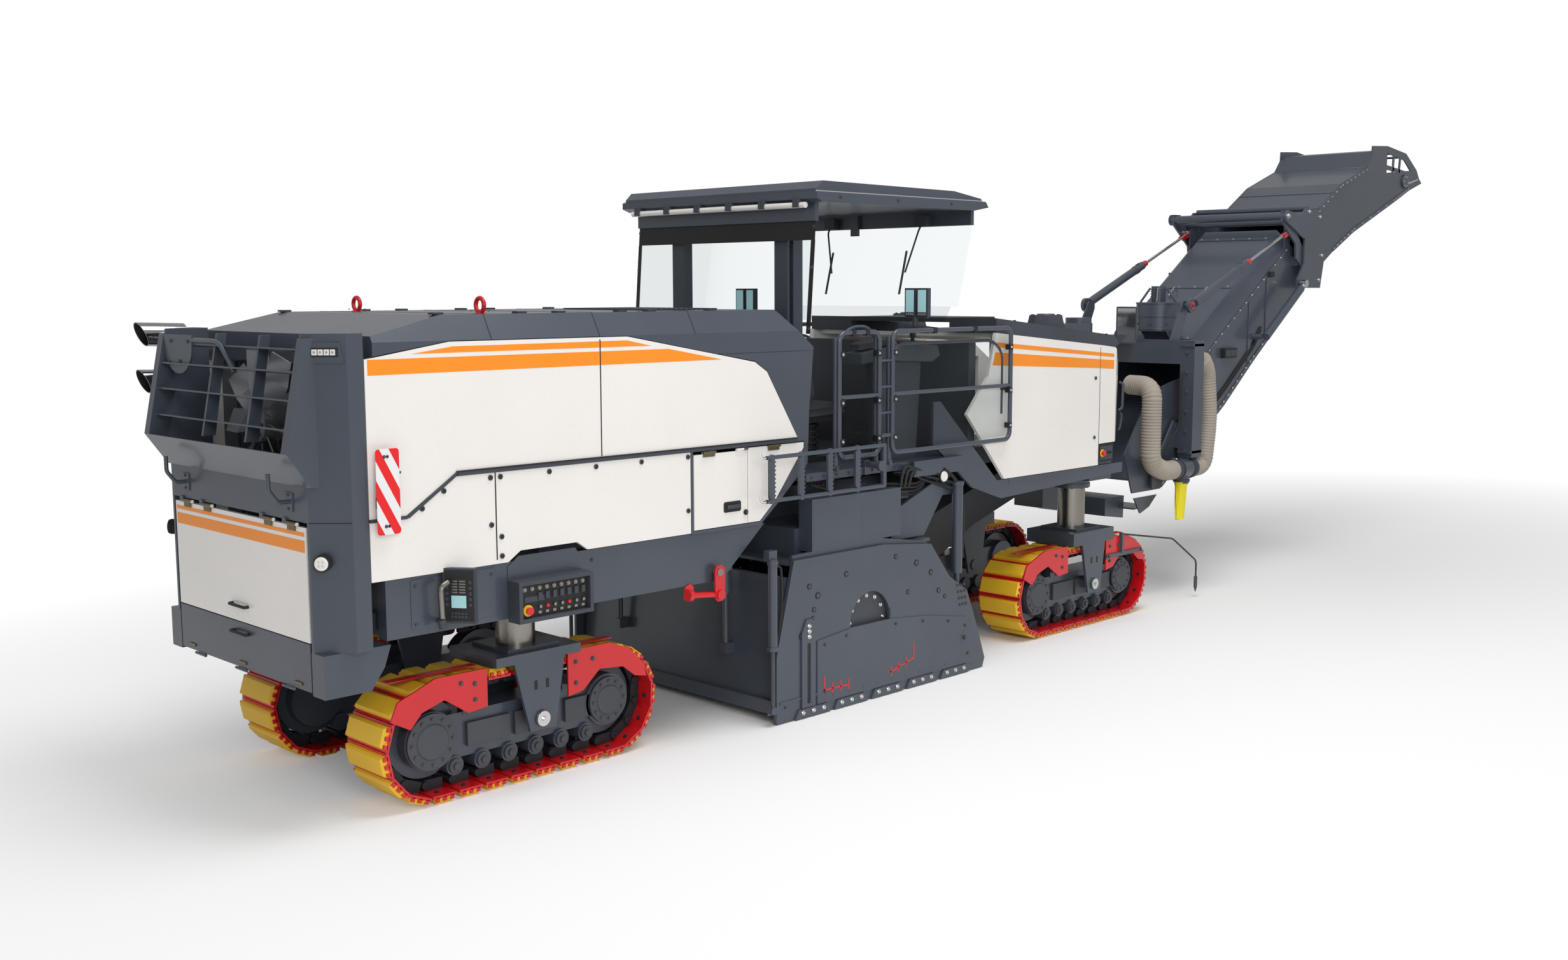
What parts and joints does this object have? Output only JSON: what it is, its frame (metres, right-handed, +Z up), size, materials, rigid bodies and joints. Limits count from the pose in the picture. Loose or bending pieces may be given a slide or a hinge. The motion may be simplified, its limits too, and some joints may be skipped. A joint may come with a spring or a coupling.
{
  "type": "cold planer",
  "caption": "Large tracked cold planer that mills off road surface with a drum under its middle and loads it through a front conveyor",
  "frame": {"origin": "on the floor, midway between the conveyor's tip and the rear, and midway between the sides", "axes": "+X forward to the conveyor's tip, +Y to the machine's left, +Z up"},
  "size_m": [15.886, 2.458, 4.885],
  "materials": {
    "slate_paint": "satin powder coat",
    "white_paint": "gloss paint",
    "red_paint": "satin paint",
    "dark_paint": "matt paint",
    "dark_moulding": "fine grain",
    "bright_column": "ground and polished",
    "chrome": "polished",
    "clear_glass": "clear",
    "track_steel": "painted shoes with yellow pads",
    "hose_beige": "ribbed",
    "bag_fabric": "woven",
    "cast_block": "as cast"
  },
  "bodies": {
    "chassis": {"frame": "slate_paint", "engine_block": "cast_block", "hood_roof": "slate_paint", "side_panels": "white_paint", "end_cheeks": "slate_paint", "rear_corners": "dark_moulding", "fan_bay": "dark_paint", "tail_pipes": "chrome", "lifting_eyes": "red_paint", "marker_boards": "white_paint", "side_consoles": "dark_moulding", "platform": "slate_paint", "operator_station": "dark_moulding", "guard_rails": "slate_paint", "front_hood": "white_paint", "front_hood_cover": "dark_moulding", "drum_housing": "slate_paint", "primary_conveyor": "dark_paint"},
    "fan": {"fan": "dark_paint"},
    "rear_door": {"rear_door": "white_paint"},
    "rear_flap": {"rear_flap": "slate_paint"},
    "service_door_right": {"service_door_right": "white_paint"},
    "service_door_left": {"service_door_left": "white_paint"},
    "canopy": {"canopy_frame": "slate_paint", "canopy_glass": "clear_glass"},
    "displays": {"displays": "dark_moulding"},
    "ladder_right": {"ladder_right": "slate_paint"},
    "ladder_left": {"ladder_left": "slate_paint"},
    "milling_drum": {"milling_drum": "dark_paint"},
    "side_plate_right": {"side_plate_right": "slate_paint"},
    "side_plate_left": {"side_plate_left": "slate_paint"},
    "scraper": {"scraper": "slate_paint"},
    "swivel_frame": {"swivel_frame": "slate_paint", "suction_hoses": "hose_beige", "dust_bag": "bag_fabric"},
    "conveyor_lower": {"conveyor_lower": "slate_paint", "dust_extractor": "slate_paint"},
    "conveyor_head": {"conveyor_head": "slate_paint"},
    "stay_barrels": {"stay_barrels": "slate_paint"},
    "stay_rods": {"stay_rods": "chrome"},
    "fold_barrels": {"fold_barrels": "slate_paint"},
    "fold_stages": {"fold_stages": "chrome"},
    "fold_rods": {"fold_rods": "chrome"},
    "leg_front_right": {"leg_front_right": "bright_column"},
    "track_front_right": {"track_frame_front_right": "slate_paint", "track_belt_front_right": "track_steel"},
    "leg_front_left": {"leg_front_left": "bright_column"},
    "track_front_left": {"track_frame_front_left": "slate_paint", "track_belt_front_left": "track_steel"},
    "leg_rear_right": {"leg_rear_right": "bright_column"},
    "track_rear_right": {"track_frame_rear_right": "slate_paint", "track_belt_rear_right": "track_steel"},
    "leg_rear_left": {"leg_rear_left": "bright_column"},
    "track_rear_left": {"track_frame_rear_left": "slate_paint", "track_belt_rear_left": "track_steel"}
  },
  "joints": [
    {"name": "fan_spin", "type": "hinge", "parent": "chassis", "child": "fan", "pos_m": [-7.58, 0, 2.33], "axis": [1, 0, 0], "continuous": true},
    {"name": "rear_door_hinge", "type": "hinge", "parent": "chassis", "child": "rear_door", "pos_m": [-7.799, 0, 1.812], "axis": [0, 1, 0], "range_deg": [0, 100]},
    {"name": "rear_flap_hinge", "type": "hinge", "parent": "chassis", "child": "rear_flap", "pos_m": [-7.799, 0, 0.83], "axis": [0, -1, 0], "range_deg": [0, 90]},
    {"name": "service_door_right_hinge", "type": "hinge", "parent": "chassis", "child": "service_door_right", "pos_m": [-4.8, -1.074, 2.026], "axis": [-1, 0, 0], "range_deg": [0, 100]},
    {"name": "service_door_left_hinge", "type": "hinge", "parent": "chassis", "child": "service_door_left", "pos_m": [-4.8, 1.074, 2.026], "axis": [1, 0, 0], "range_deg": [0, 100]},
    {"name": "canopy_lift", "type": "slide", "parent": "chassis", "child": "canopy", "axis": [0, 0, 1], "range_m": [-0.85, 0]},
    {"name": "displays_fold", "type": "hinge", "parent": "chassis", "child": "displays", "pos_m": [-2.56, 0, 2.83], "axis": [0, 1, 0], "range_deg": [0, 90]},
    {"name": "ladder_right_hinge", "type": "hinge", "parent": "chassis", "child": "ladder_right", "pos_m": [-3.26, -1.214, 1.81], "axis": [0, -1, 0], "range_deg": [0, 90]},
    {"name": "ladder_left_hinge", "type": "hinge", "parent": "chassis", "child": "ladder_left", "pos_m": [-3.26, 1.214, 1.81], "axis": [0, -1, 0], "range_deg": [0, 90]},
    {"name": "drum_spin", "type": "hinge", "parent": "chassis", "child": "milling_drum", "pos_m": [-3.345, 0, 0.62], "axis": [0, 1, 0], "continuous": true},
    {"name": "side_plate_right_lift", "type": "slide", "parent": "chassis", "child": "side_plate_right", "axis": [0, 0, 1], "range_m": [0, 0.3]},
    {"name": "side_plate_left_lift", "type": "slide", "parent": "chassis", "child": "side_plate_left", "axis": [0, 0, 1], "range_m": [0, 0.3]},
    {"name": "scraper_lift", "type": "slide", "parent": "chassis", "child": "scraper", "axis": [0, 0, 1], "range_m": [0, 0.3]},
    {"name": "conveyor_slew", "type": "hinge", "parent": "chassis", "child": "swivel_frame", "pos_m": [1.15, 0, 2], "axis": [0, 0, 1], "range_deg": [-60, 60]},
    {"name": "conveyor_lift", "type": "hinge", "parent": "swivel_frame", "child": "conveyor_lower", "pos_m": [1.62, 0, 1.2], "axis": [0, -1, 0], "range_deg": [-12, 6]},
    {"name": "conveyor_fold", "type": "hinge", "parent": "conveyor_lower", "child": "conveyor_head", "pos_m": [4.103, 0, 3.94], "axis": [0, -1, 0], "range_deg": [0, 165]},
    {"name": "stay_swing", "type": "hinge", "parent": "swivel_frame", "child": "stay_barrels", "pos_m": [2.237, 0, 2.97], "axis": [0, -1, 0], "range_deg": [-18, 10]},
    {"name": "stay_extend", "type": "slide", "parent": "stay_barrels", "child": "stay_rods", "axis": [0.9315, 0, 0.3637], "range_m": [-0.18, 0.34]},
    {"name": "fold_cylinder_swing", "type": "hinge", "parent": "conveyor_lower", "child": "fold_barrels", "pos_m": [3.614, 0, 2.62], "axis": [0, -1, 0], "range_deg": [0, 50]},
    {"name": "fold_stage_extend", "type": "slide", "parent": "fold_barrels", "child": "fold_stages", "axis": [0.8279, 0, 0.5609], "range_m": [0, 0.57]},
    {"name": "fold_rod_extend", "type": "slide", "parent": "fold_stages", "child": "fold_rods", "axis": [0.8279, 0, 0.5609], "range_m": [0, 0.57]},
    {"name": "leg_front_right_lift", "type": "slide", "parent": "chassis", "child": "leg_front_right", "axis": [0, 0, 1], "range_m": [-0.2, 0.28]},
    {"name": "track_front_right_steer", "type": "hinge", "parent": "leg_front_right", "child": "track_front_right", "pos_m": [0.05, -0.7, 0.4], "axis": [0, 0, 1], "range_deg": [-12, 12]},
    {"name": "leg_front_left_lift", "type": "slide", "parent": "chassis", "child": "leg_front_left", "axis": [0, 0, 1], "range_m": [-0.2, 0.28]},
    {"name": "track_front_left_steer", "type": "hinge", "parent": "leg_front_left", "child": "track_front_left", "pos_m": [0.05, 0.7, 0.4], "axis": [0, 0, 1], "range_deg": [-12, 12]},
    {"name": "leg_rear_right_lift", "type": "slide", "parent": "chassis", "child": "leg_rear_right", "axis": [0, 0, 1], "range_m": [-0.36, 0.23]},
    {"name": "track_rear_right_steer", "type": "hinge", "parent": "leg_rear_right", "child": "track_rear_right", "pos_m": [-6.277, -0.7, 0.4], "axis": [0, 0, 1], "range_deg": [-12, 12]},
    {"name": "leg_rear_left_lift", "type": "slide", "parent": "chassis", "child": "leg_rear_left", "axis": [0, 0, 1], "range_m": [-0.36, 0.23]},
    {"name": "track_rear_left_steer", "type": "hinge", "parent": "leg_rear_left", "child": "track_rear_left", "pos_m": [-6.277, 0.7, 0.4], "axis": [0, 0, 1], "range_deg": [-12, 12]}
  ],
  "couplings": [
    {"joint": "stay_swing", "follows": "conveyor_lift", "ratio": 1.4549},
    {"joint": "stay_extend", "follows": "conveyor_lift", "m_per_rad": -1.5285},
    {"joint": "fold_cylinder_swing", "follows": "conveyor_fold", "ratio": 0.286},
    {"joint": "fold_stage_extend", "follows": "conveyor_fold", "m_per_rad": 0.194},
    {"joint": "fold_rod_extend", "follows": "conveyor_fold", "m_per_rad": 0.194},
    {"joint": "displays_fold", "follows": "canopy_lift", "rad_per_m": -1.84},
    {"joint": "track_front_left_steer", "follows": "track_front_right_steer", "ratio": 1},
    {"joint": "track_rear_left_steer", "follows": "track_rear_right_steer", "ratio": 1}
  ]
}
